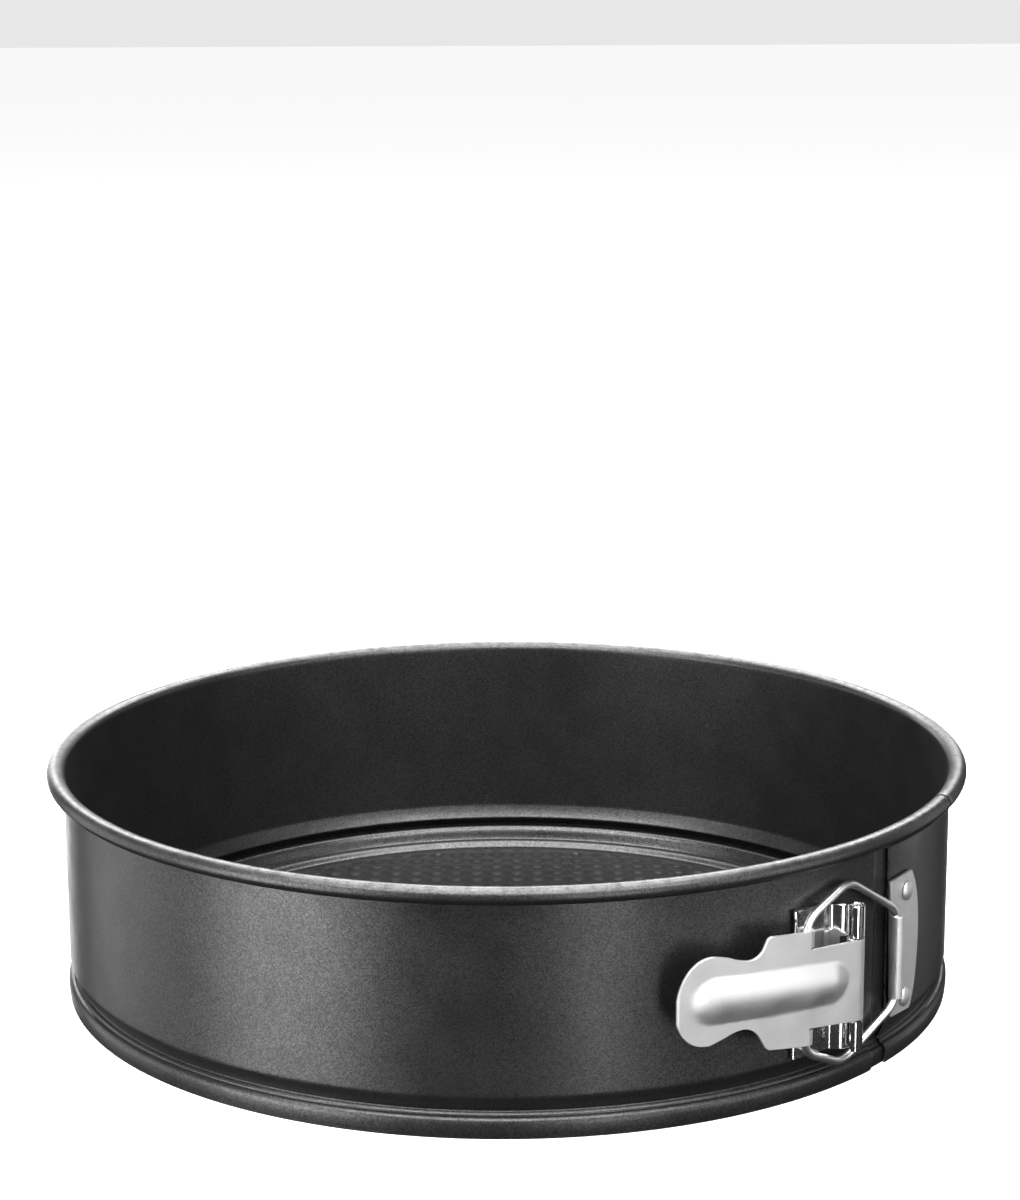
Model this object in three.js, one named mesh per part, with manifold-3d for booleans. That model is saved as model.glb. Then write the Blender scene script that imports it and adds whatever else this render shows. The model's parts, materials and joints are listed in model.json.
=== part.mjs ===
// Springform pan, 26 cm: a loose base, an open side band with a lapped seam,
// and an over-centre latch (bracket, pin, lever, wire bail, catch plate).
// Millimetres, +Z up. Origin: pan axis, on the underside of the base.
// Azimuth: degrees from -Y towards +X. The latch sits at the front right.
import * as THREE from 'three';
import { mergeVertices } from 'three/addons/utils/BufferGeometryUtils.js';
import Module from 'manifold-3d';

const wasm = await Module();
wasm.setup();

// ---- driving dimensions ----
const panHeight = 68.7;          // rest plane to top of the rolled rim
const wallRadius = 130.5;        // outside of the straight side wall
const bandSheet = 0.5;           // side band sheet thickness
const rimWidth = 5.4;            // rolled rim, radial size
const rimHeight = 4.8;           // rolled rim, vertical size
const wallFoot = 10.2;           // height where the wall turns in to the neck
const neckDepth = 2.4;           // how far the neck is pressed in
const neckHeight = 5.5;          // height of the deepest point of the neck
const skirtFlare = 0.6;          // skirt foot stands proud of the wall by this

const baseSheet = 0.6;           // base sheet thickness
const edgeClearance = 0.75;      // base flange to the inside of the inner layer
const outerRidgeHeight = 5.1;    // ridge that locates the base inside the band
const innerRidgeHeight = 2.6;    // small pressed ridge round the floor
const ridgeSpacing = 8;          // crest to crest

// Places round the wall are lengths along its outside, left of the seam.
const seamAzimuth = 52.2;        // edge of the outer layer (catch end), degrees
const lapLength = 31.4;          // inner layer runs this far under the outer one
const grooveWidth = 5;           // inner layer shows for this much before the edge
const joggleLength = 2.3;        // step from outer to inner layer
const rimGap = 1.1;              // between the two rim ends

const pinFromSeam = 22.1;        // latch pin
const pinRadius = 1.2;
const pinStandoff = 5.8;         // pin axis outside the wall
const knuckleSheet = 0.9;        // bracket and lever sheet
const bracketLow = wallFoot + 2;
const bracketHigh = panHeight - rimHeight - 11.2;

// Heights on the latch, up from the foot of a bracket 40.5 mm tall; they stretch with it.
const level = (rise) => bracketLow + (rise * (bracketHigh - bracketLow)) / 40.5;
const leverLow = level(8.7);     // hinge section of the lever
const leverHigh = level(31.3);
const earHookLevels = [[level(5.9), level(10.1)], [level(32.8), level(37)]];
const bracketRivetHeights = [level(14.8), level(25.8)];
const catchRivetHeights = [level(4.8), level(35.4)];
const bracketLeaf = 18.2;        // bracket leaf runs this far left of the pin
const bracketRivetFromPin = 12.5;

const wireRadius = 1.1;          // bail wire
const wireLegFromSeam = 39.2;    // bail leg held by the lever
const wireLegStandoff = 4.7;     // that leg's axis outside the wall
const barrelFromSeam = -0.5;     // rolled barrel of the catch plate
const barrelLow = level(7.3);
const barrelHigh = level(30.8);
const wireLegLow = level(2.4);   // corners of the bail
const wireLegHigh = level(39.4);
const wireKneeLow = bracketLow - 3.6;
const wireKneeHigh = bracketHigh + 5.1;
const wireBend = 2.4;            // length used by a bend, each side of its corner
const barrelSheet = 0.55;
const legTravel = 3.6;           // room the leg needs along the hooks, mid-swing

const catchSheet = 1;            // catch plate and bracket leaf thickness
const catchLow = level(0.1);
const catchHigh = level(40.4);
const catchWidth = 16.4;
const catchRivetFromSeam = -8.4;
const rivetRadius = 1.3;
const rivetHeadRadius = 2.7;
const rivetHeadHeight = 1.1;

const gap = 0.3;                 // between touching pieces
const slide = 0.35;              // between the lapped layers
const runningGap = 0.3;          // round the pin and the wire

const panSegments = 72;          // facets round the pan
const roundSegments = 16;        // facets round a knuckle, pin or rivet

// ---- derived sizes ----
const degree = Math.PI / 180;
const perDegree = wallRadius * degree;   // length along the wall per degree
const leftOfSeam = (length) => seamAzimuth - length / perDegree;
const sheetMid = wallRadius - bandSheet / 2;
const layerStep = bandSheet + slide;
const rimCentre = new THREE.Vector2(wallRadius - bandSheet + rimWidth / 2, panHeight - rimHeight / 2);
const rimUnderside = panHeight - rimHeight;
const pinPlace = wallRadius + pinStandoff;
const knuckleBore = pinRadius + runningGap;
const knuckleRadius = knuckleBore + knuckleSheet;
const leafInner = wallRadius + gap;
const leafOuter = leafInner + catchSheet;
const barrelBore = wireRadius + runningGap;
const barrelRadius = barrelBore + barrelSheet;
const barrelPlace = leafOuter + barrelBore + 0.2;
const wireLegPlace = wallRadius + wireLegStandoff;
const backAzimuth = seamAzimuth + 180;
const tongueEnd = leftOfSeam(-lapLength);
const grooveStart = leftOfSeam(grooveWidth);
const joggleStart = leftOfSeam(grooveWidth + joggleLength);
const pinAzimuth = leftOfSeam(pinFromSeam);
const wireLegAzimuth = leftOfSeam(wireLegFromSeam);
const barrelAzimuth = leftOfSeam(barrelFromSeam);
const seamPhase = seamAzimuth * degree;

// ---- materials ----
const finish = (color, roughness, metalness) => (
  new THREE.MeshStandardMaterial({ color, roughness, metalness }));
const coating = finish(0x38393b, 0.5, 0.35);
const baseCoating = finish(0x2c2d2f, 0.55, 0.3);
const satinSteel = finish(0xc4c2be, 0.38, 0.9);
const chrome = finish(0xdfe1e3, 0.12, 1);

// ---- shape helpers ----
const polar = (radius, azimuth) => new THREE.Vector2(
  radius * Math.sin(azimuth * degree), -radius * Math.cos(azimuth * degree));

function toSolid(geometry) {
  geometry.deleteAttribute('normal');
  geometry.deleteAttribute('uv');
  const merged = mergeVertices(geometry, 1e-4);
  const vertProperties = new Float32Array(merged.attributes.position.array);
  const triVerts = new Uint32Array(merged.index.array);
  return new wasm.Manifold(new wasm.Mesh({ numProp: 3, vertProperties, triVerts }));
}

function toGeometry(solid) {
  const { vertProperties, triVerts } = solid.getMesh();
  const geometry = new THREE.BufferGeometry();
  geometry.setAttribute('position', new THREE.BufferAttribute(vertProperties, 3));
  geometry.setIndex(new THREE.BufferAttribute(triVerts, 1));
  return geometry;
}

const joinAll = (solids) => solids.reduce((whole, solid) => whole.add(solid));

// A closed (radius, height) outline turned about Z, facets starting at the seam.
function turned(outline) {
  const points = THREE.ShapeUtils.area(outline) > 0 ? outline : [...outline].reverse();
  const onAxis = points.some((point) => point.x === 0);
  const closed = onAxis ? points : [...points, points[0]];
  const geometry = new THREE.LatheGeometry(closed, panSegments, seamPhase, Math.PI * 2);
  return toSolid(geometry.rotateX(Math.PI / 2));
}

// A plan outline raised from one height to another.
function raised(points, low, high) {
  const geometry = new THREE.ExtrudeGeometry(new THREE.Shape(points),
    { depth: high - low, bevelEnabled: false });
  return toSolid(geometry.translate(0, 0, low));
}

// A wedge about the pan axis that keeps everything between two azimuths.
function wedge(from, to, low = -5, high = panHeight + 5) {
  const reach = wallRadius * 1.5;
  const steps = Math.ceil((to - from) / 15);
  const arc = Array.from({ length: steps + 1 }, (_, i) => polar(reach, from + ((to - from) * i) / steps));
  return raised([new THREE.Vector2(0, 0), ...arc], low, high);
}

// A round post at a place in plan.
function post(place, radius, low, high) {
  const geometry = new THREE.CylinderGeometry(radius, radius, high - low, roundSegments);
  geometry.rotateX(Math.PI / 2).translate(place.x, place.y, (low + high) / 2);
  return toSolid(geometry);
}

// Points moved sideways along their normals, to the left of the direction of travel.
function offset(points, distance) {
  return points.map((point, i) => {
    const before = points[Math.max(i - 1, 0)];
    const after = points[Math.min(i + 1, points.length - 1)];
    const a = point.clone().sub(before);
    const b = after.clone().sub(point);
    const na = new THREE.Vector2(-a.y, a.x).normalize();
    const nb = new THREE.Vector2(-b.y, b.x).normalize();
    const normal = na.add(nb).normalize();
    const along = (b.lengthSq() > 0 ? b : a).normalize();
    const stretch = Math.abs(normal.cross(along)) || 1;
    return point.clone().addScaledVector(normal, distance / stretch);
  });
}

const sheetOutline = (mid, thickness) => [
  ...offset(mid, thickness / 2), ...offset(mid, -thickness / 2).reverse()];

// A flat outline given as (along, height), standing at an azimuth and pushed out radially.
function standing(points, azimuth, near, far) {
  const geometry = new THREE.ExtrudeGeometry(new THREE.Shape(points),
    { depth: far - near, bevelEnabled: false });
  geometry.rotateX(Math.PI / 2).translate(0, -near, 0).rotateZ(azimuth * degree);
  return toSolid(geometry);
}

// ---- side band ----
const bandMid = [
  [sheetMid, rimCentre.y],
  [sheetMid, wallFoot],
  [sheetMid - 0.6, wallFoot - 1.3],
  [sheetMid - neckDepth + 0.3, neckHeight + 0.8],
  [sheetMid - neckDepth, neckHeight],
  [sheetMid - neckDepth + 0.3, neckHeight - 0.7],
  [sheetMid - 0.9, neckHeight - 1.3],
  [sheetMid + 0.1, neckHeight - 2.1],
  [sheetMid + skirtFlare - 0.1, neckHeight - 3.3],
  [sheetMid + skirtFlare, 0],
].map(([x, y]) => new THREE.Vector2(x, y));

const abovePlane = (points) => points.map((point) => new THREE.Vector2(point.x, Math.max(point.y, 0)));
const innerMid = abovePlane(offset(bandMid, -layerStep));
const joggleMid = abovePlane(offset(bandMid, -layerStep / 2));

const rimOutline = new THREE.EllipseCurve(rimCentre.x, rimCentre.y, rimWidth / 2, rimHeight / 2)
  .getPoints(16).slice(0, -1);
const wallRing = turned(sheetOutline(bandMid, bandSheet));
const rimRing = turned(rimOutline);
const rivetAzimuths = {
  bracket: leftOfSeam(pinFromSeam + bracketRivetFromPin), catch: leftOfSeam(catchRivetFromSeam),
};

function rivetHoles(azimuth, heights) {
  return joinAll(heights.map((height) => standing(
    new THREE.Path().absarc(0, 0, rivetRadius + gap, 0, Math.PI * 2).getPoints(4)
      .slice(0, -1).map((point) => point.add(new THREE.Vector2(0, height))),
    azimuth, wallRadius - 8, wallRadius + 8)));
}

function latchHalf() {
  const halfCut = gap / 2 / wallRadius / degree;
  const main = wallRing.add(rimRing).intersect(wedge(backAzimuth + halfCut, 360 + grooveStart));
  const joggle = turned(sheetOutline(joggleMid, bandSheet + layerStep))
    .intersect(wedge(joggleStart, grooveStart + 0.1));
  const tongue = turned(sheetOutline(innerMid, bandSheet)).intersect(wedge(grooveStart, tongueEnd));
  const rimWeb = turned([
    [sheetMid - layerStep - bandSheet / 2, rimCentre.y - 1],
    [rimCentre.x, rimCentre.y - 1],
    [rimCentre.x, rimCentre.y + 1],
    [sheetMid - layerStep - bandSheet / 2, rimCentre.y + 1],
  ].map(([x, y]) => new THREE.Vector2(x, y)));
  const rimEnd = rimRing.add(rimWeb).intersect(wedge(joggleStart, tongueEnd));
  return joinAll([main, joggle, tongue, rimEnd])
    .subtract(rivetHoles(rivetAzimuths.bracket, bracketRivetHeights));
}

function catchHalf() {
  const halfCut = gap / 2 / wallRadius / degree;
  const rimStart = leftOfSeam(-lapLength - rimGap);
  return wallRing.add(rimRing)
    .intersect(wedge(seamAzimuth, backAzimuth - halfCut))
    .subtract(wedge(seamAzimuth - 1, rimStart, rimUnderside - gap))
    .subtract(rivetHoles(rivetAzimuths.catch, catchRivetHeights));
}

// ---- base ----
function basePlate() {
  const floorMid = baseSheet / 2;
  const flangeEdge = sheetMid - layerStep - bandSheet / 2 - edgeClearance + skirtFlare;
  const outerRidgeRadius = sheetMid - neckDepth - layerStep - 1.7;
  const innerRidgeRadius = outerRidgeRadius - ridgeSpacing;
  const mid = [
    [innerRidgeRadius - 3, floorMid],
    [innerRidgeRadius - 0.9, innerRidgeHeight - floorMid - 0.3],
    [innerRidgeRadius, innerRidgeHeight - floorMid],
    [innerRidgeRadius + 0.9, innerRidgeHeight - floorMid - 0.3],
    [innerRidgeRadius + 2.9, floorMid],
    [outerRidgeRadius - 2.6, floorMid],
    [outerRidgeRadius - 0.8, outerRidgeHeight - floorMid - 0.4],
    [outerRidgeRadius, outerRidgeHeight - floorMid],
    [outerRidgeRadius + 0.6, outerRidgeHeight - floorMid - 0.4],
    [outerRidgeRadius + 1.7, 2],
    [flangeEdge, 1.9],
  ].map(([x, y]) => new THREE.Vector2(x, y));
  const upper = offset(mid, baseSheet / 2);
  const lower = abovePlane(offset(mid, -baseSheet / 2));
  return turned([
    new THREE.Vector2(0, 0), ...lower, ...upper.reverse(), new THREE.Vector2(0, baseSheet)]);
}

// ---- hinge bracket, pin and rivets, on the latch end of the band ----
const pinCentre = polar(pinPlace, pinAzimuth);

function hingeBracket() {
  const leafLeft = leftOfSeam(pinFromSeam + bracketLeaf);
  const leafRight = leftOfSeam(pinFromSeam + 5.5);
  const leafRing = turned([
    [leafInner, bracketLow], [leafOuter, bracketLow], [leafOuter, bracketHigh], [leafInner, bracketHigh],
  ].map(([x, y]) => new THREE.Vector2(x, y)));
  const leaf = leafRing.intersect(wedge(leafLeft, leafRight));
  const ramp = raised([
    polar(leafInner + 0.05, leafRight - 2.7 / perDegree),
    polar(leafInner + 0.05, leafRight - 0.5 / perDegree),
    polar(pinPlace - knuckleRadius, pinAzimuth),
    polar(pinPlace - knuckleBore - 0.1, pinAzimuth - 0.9 / perDegree),
    polar(leafOuter - 0.05, leafRight - 1.8 / perDegree),
  ], bracketLow, bracketHigh);
  const roll = post(pinCentre, knuckleRadius, bracketLow, bracketHigh);
  const bore = post(pinCentre, knuckleBore, bracketLow - 1, bracketHigh + 1);
  const leverRoom = post(pinCentre, knuckleRadius + 1.2, leverLow - gap, leverHigh + gap);
  return joinAll([leaf, ramp, roll]).subtract(bore).subtract(leverRoom)
    .subtract(rivetHoles(rivetAzimuths.bracket, bracketRivetHeights));
}

const hingePin = () => post(pinCentre, pinRadius, bracketLow + 0.4, bracketHigh - 0.4);

// A rivet lying radially: domed head outside, plain or headed end inside the wall.
function rivet(azimuth, height, headedInside) {
  const headFoot = leafOuter + gap;
  const wallInside = wallRadius - bandSheet;
  const innerEnd = headedInside
    ? [[0, wallInside - gap - 0.7], [rivetHeadRadius - 0.5, wallInside - gap - 0.7],
      [rivetHeadRadius - 0.5, wallInside - gap], [rivetRadius, wallInside - gap]]
    : [[0, wallInside], [rivetRadius, wallInside]];
  const outline = [
    ...innerEnd,
    [rivetRadius, headFoot], [rivetHeadRadius, headFoot],
    [rivetHeadRadius - 0.3, headFoot + rivetHeadHeight * 0.6],
    [rivetHeadRadius - 1.2, headFoot + rivetHeadHeight], [0, headFoot + rivetHeadHeight],
  ].map(([x, y]) => new THREE.Vector2(x, y));
  const geometry = new THREE.LatheGeometry(outline, roundSegments);
  geometry.rotateX(Math.PI).translate(0, 0, height).rotateZ(azimuth * degree);
  return toSolid(geometry);
}

// ---- latch lever ----
const leverAzimuth = leftOfSeam(46);   // the outline below is drawn square to this azimuth

const hookRoom = wireRadius + runningGap;
const hookSheet = 0.6;
const hookRight = wireLegAzimuth + (hookRoom + legTravel + hookSheet) / perDegree;

// Outline seen from outside as (along the wall to the right, height).
function leverOutline() {
  const earRight = (pinPlace + knuckleBore) * Math.sin((hookRight - leverAzimuth) * degree);
  const hingeRight = pinPlace * Math.sin((pinAzimuth - leverAzimuth) * degree) + knuckleRadius + 0.8;
  const hinge = [[hingeRight, leverHigh], [hingeRight - 7.5, leverHigh], [earRight, level(32.2)]];
  const upperEar = [[earRight, level(37.2)], [-5.6, level(38.4)]];
  const tab = new THREE.SplineCurve([
    [-5.6, 38.4], [-9.2, 34.8], [-14, 33.2], [-19.5, 34.6], [-25, 36.1], [-30.5, 34], [-34, 28.4],
    [-35.3, 22.4], [-34.3, 16.3], [-31, 12.6], [-27, 11.6], [-22, 12.8], [-16, 14.2], [-11.6, 13.6],
    [-8.8, 10], [-6.2, 8.1],
  ].map(([x, rise]) => new THREE.Vector2(x, level(rise)))).getPoints(28);
  const lowerEar = [[earRight, level(5.7)], [earRight, level(11)]];
  const foot = [[hingeRight, leverLow]];
  const points = (list) => list.map(([x, y]) => new THREE.Vector2(x, y));
  return [...points(hinge), ...points(upperEar), ...tab.slice(1), ...points(lowerEar), ...points(foot)];
}

function latchLever() {
  const sheetPlace = pinPlace + knuckleBore + knuckleSheet / 2;
  const planPath = new THREE.CatmullRomCurve3([
    [sheetPlace, 0], [sheetPlace - 0.6, 10.2], [sheetPlace - 0.45, 20.5], [sheetPlace, 29.6],
    [sheetPlace + 1, 41], [sheetPlace + 2.4, 52.4], [sheetPlace + 3.4, 61.5],
  ].map(([radius, left]) => {
    const place = polar(radius, leftOfSeam(pinFromSeam + left));
    return new THREE.Vector3(place.x, place.y, 0);
  }));
  const mid = planPath.getPoints(18).map((point) => new THREE.Vector2(point.x, point.y));
  const plate = raised(sheetOutline(mid, knuckleSheet), 0, panHeight)
    .intersect(standing(leverOutline(), leverAzimuth, wallRadius - 10, wallRadius + 30));
  const sleeve = post(pinCentre, knuckleRadius, leverLow, leverHigh);
  const bore = post(pinCentre, knuckleBore, leverLow - 1, leverHigh + 1);
  const hooks = earHookLevels.map(([low, high]) => earHook(low, high));
  return joinAll([plate, sleeve, ...hooks]).subtract(bore);
}

// The folded-back edge of an ear: a pocket round the wire leg, open to the left.
function earHook(low, high) {
  const legShift = 0.85;
  const inside = hookRight - hookSheet / perDegree;
  const back = wireLegPlace - hookRoom - legShift;
  const left = wireLegAzimuth - 0.9 / perDegree;
  const outerFace = pinPlace + knuckleBore + 0.1;
  return raised([
    polar(back, left), polar(back - hookSheet, left), polar(back - hookSheet, hookRight),
    polar(outerFace, hookRight), polar(outerFace, inside), polar(back, inside),
  ], low, high);
}

// ---- bail wire ----
const barrelCentre = polar(barrelPlace, barrelAzimuth);
const legCentre = polar(wireLegPlace, wireLegAzimuth);

function bailWire() {
  const reach = legCentre.distanceTo(barrelCentre);
  const knee = pinCentre.distanceTo(barrelCentre);
  const middle = (barrelLow + barrelHigh) / 2;
  const corners = [
    [0, middle + gap], [0, barrelHigh + wireBend], [knee, wireKneeHigh], [reach, wireLegHigh],
    [reach, wireLegLow], [knee + 0.8, wireKneeLow], [0, barrelLow - wireBend], [0, middle - gap],
  ].map(([along, height]) => {
    const place = barrelCentre.clone().lerp(legCentre, along / reach);
    return new THREE.Vector3(place.x, place.y, height);
  });
  const path = new THREE.CurvePath();
  let last = corners[0];
  for (let i = 1; i < corners.length - 1; i += 1) {
    const corner = corners[i];
    const into = corner.clone().add(corners[i - 1].clone().sub(corner).setLength(wireBend));
    const out = corner.clone().add(corners[i + 1].clone().sub(corner).setLength(wireBend));
    path.add(new THREE.LineCurve3(last, into));
    path.add(new THREE.QuadraticBezierCurve3(into, corner, out));
    last = out;
  }
  path.add(new THREE.LineCurve3(last, corners[corners.length - 1]));
  const section = new THREE.Shape(new THREE.Path().absarc(0, 0, wireRadius, 0, Math.PI * 2)
    .getPoints(4).slice(0, -1));
  return toSolid(new THREE.ExtrudeGeometry(section,
    { steps: 70, extrudePath: path, bevelEnabled: false }));
}

// ---- catch plate, on the catch end of the band ----
function catchPlate() {
  const left = -catchWidth / 2;
  const right = catchWidth / 2;
  const plateAzimuth = leftOfSeam(barrelFromSeam + 1.1 + left);
  const outline = [
    [left, level(1.2)], [right - 3.2, catchLow], [right - 1.8, level(3.6)], [right - 0.3, level(11.8)],
    [right, level(20.8)], [right - 0.4, level(29.8)], [right - 2.4, level(37.4)], [right - 4, catchHigh],
    [left, catchHigh - 0.3],
  ].map(([x, y]) => new THREE.Vector2(x, y));
  const sheet = turned([
    [leafInner, catchLow - 1], [leafOuter, catchLow - 1],
    [leafOuter, catchHigh + 1], [leafInner, catchHigh + 1],
  ].map(([x, y]) => new THREE.Vector2(x, y)));
  const plate = sheet.intersect(standing(outline, plateAzimuth, wallRadius - 5, wallRadius + 10));
  const barrel = post(barrelCentre, barrelRadius, barrelLow, barrelHigh);
  const bore = post(barrelCentre, barrelBore, barrelLow - 1, barrelHigh + 1);
  return plate.add(barrel).subtract(bore)
    .subtract(rivetHoles(rivetAzimuths.catch, catchRivetHeights));
}

// ---- assembly ----
const group = new THREE.Group();

function place(name, solid, material) {
  const mesh = new THREE.Mesh(toGeometry(solid), material);
  mesh.name = name;
  group.add(mesh);
}

place('base_plate', basePlate(), baseCoating);
place('side_band_latch_half', latchHalf(), coating);
place('side_band_catch_half', catchHalf(), coating);
place('hinge_bracket', hingeBracket(), chrome);
place('hinge_pin', hingePin(), chrome);
place('latch_lever', latchLever(), satinSteel);
place('bail_wire', bailWire(), satinSteel);
place('catch_plate', catchPlate(), satinSteel);
bracketRivetHeights.forEach((height, i) => {
  place(`bracket_rivet_${['lower', 'upper'][i]}`, rivet(rivetAzimuths.bracket, height, true), satinSteel);
});
catchRivetHeights.forEach((height, i) => {
  place(`catch_rivet_${['lower', 'upper'][i]}`, rivet(rivetAzimuths.catch, height, false), satinSteel);
});

export default group;
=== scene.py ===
import json
import math

import bmesh
import bpy
from mathutils import Matrix, Vector


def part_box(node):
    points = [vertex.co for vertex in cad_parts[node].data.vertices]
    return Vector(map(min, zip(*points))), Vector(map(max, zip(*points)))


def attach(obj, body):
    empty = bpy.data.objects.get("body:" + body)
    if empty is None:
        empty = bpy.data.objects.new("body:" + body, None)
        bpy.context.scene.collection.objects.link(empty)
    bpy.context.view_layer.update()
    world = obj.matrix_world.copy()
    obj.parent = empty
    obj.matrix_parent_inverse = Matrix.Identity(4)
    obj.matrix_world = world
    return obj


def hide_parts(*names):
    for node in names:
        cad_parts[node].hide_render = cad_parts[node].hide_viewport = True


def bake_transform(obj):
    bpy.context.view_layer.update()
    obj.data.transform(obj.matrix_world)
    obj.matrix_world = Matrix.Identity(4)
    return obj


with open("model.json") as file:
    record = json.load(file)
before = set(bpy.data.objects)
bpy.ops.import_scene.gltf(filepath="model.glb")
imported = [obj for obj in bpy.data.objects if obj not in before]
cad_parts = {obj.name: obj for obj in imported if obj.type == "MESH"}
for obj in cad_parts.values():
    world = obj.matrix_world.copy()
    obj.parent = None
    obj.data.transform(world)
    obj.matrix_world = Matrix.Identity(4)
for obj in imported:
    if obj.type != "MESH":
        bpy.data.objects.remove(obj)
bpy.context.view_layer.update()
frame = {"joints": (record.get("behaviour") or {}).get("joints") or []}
mm = 0.001
print("frame loaded")

# Sizes are in millimetres. Azimuth is in degrees from -Y towards +X, seen from above.
joints = {joint["name"]: joint for joint in frame["joints"]}
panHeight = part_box("side_band_catch_half")[1][2] / mm
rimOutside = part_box("side_band_catch_half")[1][0] / mm
wallOutside = 130.5
alongDegree = math.radians(wallOutside)  # millimetres along the wall in one degree
seamAzimuth = 52.2
pinCentre = Vector(joints["lever_swing"]["pos_m"]) / mm
barrelCentre = Vector(joints["bail_turn"]["pos_m"]) / mm
pinAzimuth = math.degrees(math.atan2(pinCentre.x, -pinCentre.y))
barrelAzimuth = math.degrees(math.atan2(barrelCentre.x, -barrelCentre.y))


def onPan(radius, azimuth, height=0.0):
    turn = math.radians(azimuth)
    return Vector((radius * math.sin(turn), -radius * math.cos(turn), height))


def smoothStep(low, high, value):
    t = min(max((value - low) / (high - low), 0.0), 1.0)
    return t * t * (3 - 2 * t)


def mix(a, b, t):
    return a + (b - a) * t


# A smooth value at x through a few (x, value) knots.
def through(knots, x):
    last = len(knots) - 1
    x = min(max(x, knots[0][0]), knots[last][0])
    i = next(n for n in range(last) if x <= knots[n + 1][0])

    def slope(n):
        before, after = knots[max(n - 1, 0)], knots[min(n + 1, last)]
        return (after[1] - before[1]) / (after[0] - before[0])

    (x0, y0), (x1, y1) = knots[i], knots[i + 1]
    w = x1 - x0
    t = (x - x0) / w
    return ((2 * t**3 - 3 * t**2 + 1) * y0 + (t**3 - 2 * t**2 + t) * w * slope(i)
            + (3 * t**2 - 2 * t**3) * y1 + (t**3 - t**2) * w * slope(i + 1))


# Cuts the corners of an open path; each pass makes it rounder.
def softened(points, passes=2):
    for _ in range(passes):
        cut = [points[0]]
        for a, b in zip(points, points[1:]):
            cut += [mix(a, b, 0.25), mix(a, b, 0.75)]
        points = cut[:1] + cut[2:-1] + [points[-1]]
    return points


# The path with an arc of the given reach at each inner corner.
def rounded(corners, reach, steps=8):
    path = [corners[0]]
    for before, corner, after in zip(corners, corners[1:], corners[2:]):
        into = corner + (before - corner).normalized() * reach
        out = corner + (after - corner).normalized() * reach
        for i in range(steps + 1):
            t = i / steps
            path.append(into * (1 - t) ** 2 + corner * 2 * t * (1 - t) + out * t**2)
    return path + [corners[-1]]


# Values from start to end with close ones near both ends, for sheet edges.
def edged(start, end, count, edge=(0.16, 0.4)):
    span = abs(end - start)
    inner = [edge[1] + (span - 2 * edge[1]) * i / count for i in range(count + 1)]
    stops = [0.0, edge[0]] + inner + [span - edge[0], span]
    return [mix(start, end, stop / span) for stop in stops]


def finishMesh(name, mesh, material):
    piece = bpy.data.objects.new(name, mesh)
    bpy.context.collection.objects.link(piece)
    mesh.materials.append(material)
    return piece


# This point attribute marks free edges and crests for the node group that paints them lighter: partly
# wear, partly painted highlight.
def cleanMesh(name, points, faces, wearAndSheen=None, sharpAngle=32):
    mesh = bpy.data.meshes.new(name)
    mesh.from_pydata([tuple(point * mm) for point in points], [], faces)
    wearSheenMark = mesh.attributes.new("wearAndSheen", "FLOAT", "POINT")
    wearSheenMark.data.foreach_set("value", wearAndSheen or [0.0] * len(points))
    work = bmesh.new()
    work.from_mesh(mesh)
    bmesh.ops.remove_doubles(work, verts=work.verts, dist=1e-7)
    bmesh.ops.recalc_face_normals(work, faces=work.faces)
    for face in work.faces:
        face.smooth = True
    for edge in work.edges:
        joinsTwo = len(edge.link_faces) == 2
        edge.smooth = joinsTwo and edge.calc_face_angle() < math.radians(sharpAngle)
    work.to_mesh(mesh)
    work.free()
    return mesh


# A sheet of metal. places[j][k] is the middle of the sheet, metal(j, k) says whether the cell
# from there to (j + 1, k + 1) exists, and half(j, k) is half the thickness. Free edges are
# a little thinner, which reads as a sheared edge. Joined columns continue in another piece.
# A corner touched by fewer than four cells is on a free edge.
def sheetShell(places, half, metal=lambda j, k: True, edgeShare=0.62, joined=(),
               crest=lambda place: 0.0):
    columns, lines = len(places), len(places[0])
    normals, touched = {}, {}
    cells = [(j, k) for j in range(columns - 1) for k in range(lines - 1) if metal(j, k)]
    for j, k in cells:
        corners = [(j, k), (j + 1, k), (j + 1, k + 1), (j, k + 1)]
        a, b, c, d = [places[p][q] for p, q in corners]
        normal = (c - a).cross(d - b).normalized()
        for corner in corners:
            normals[corner] = normals.get(corner, Vector()) + normal
            touched[corner] = touched.get(corner, 0) + (2 if corner[0] in joined else 1)
    points, wearAndSheen, outer, inner = [], [], {}, {}
    for corner, normal in normals.items():
        place = places[corner[0]][corner[1]]
        depth = half(*corner) * (1 if touched[corner] >= 4 else edgeShare)
        # Free edges and crests get the mark for a lighter colour: partly wear, partly painted
        # highlight.
        wearAndSheen += [1.0 if touched[corner] < 4 else crest(place)] * 2
        outer[corner] = len(points)
        inner[corner] = len(points) + 1
        points += [place + normal.normalized() * depth, place - normal.normalized() * depth]
    faces, present = [], set(cells)
    for j, k in cells:
        a, b, c, d = (j, k), (j + 1, k), (j + 1, k + 1), (j, k + 1)
        faces.append([outer[a], outer[b], outer[c], outer[d]])
        faces.append([inner[d], inner[c], inner[b], inner[a]])
        sides = (((j, k - 1), a, b), ((j + 1, k), b, c), ((j, k + 1), c, d), ((j - 1, k), d, a))
        for neighbour, p, q in sides:
            if neighbour not in present:
                faces.append([outer[q], outer[p], inner[p], inner[q]])
    return points, faces, wearAndSheen


def newGroup(name, inputs, outputs):
    group = bpy.data.node_groups.new(name, "ShaderNodeTree")
    for label, kind, start in inputs:
        group.interface.new_socket(label, in_out="INPUT", socket_type=kind).default_value = start
    for label, kind in outputs:
        group.interface.new_socket(label, in_out="OUTPUT", socket_type=kind)
    return group, group.nodes.new("NodeGroupInput"), group.nodes.new("NodeGroupOutput")


def addNode(tree, kind, **settings):
    node = tree.nodes.new(kind)
    for key, value in settings.items():
        setattr(node, key, value)
    return node


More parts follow.
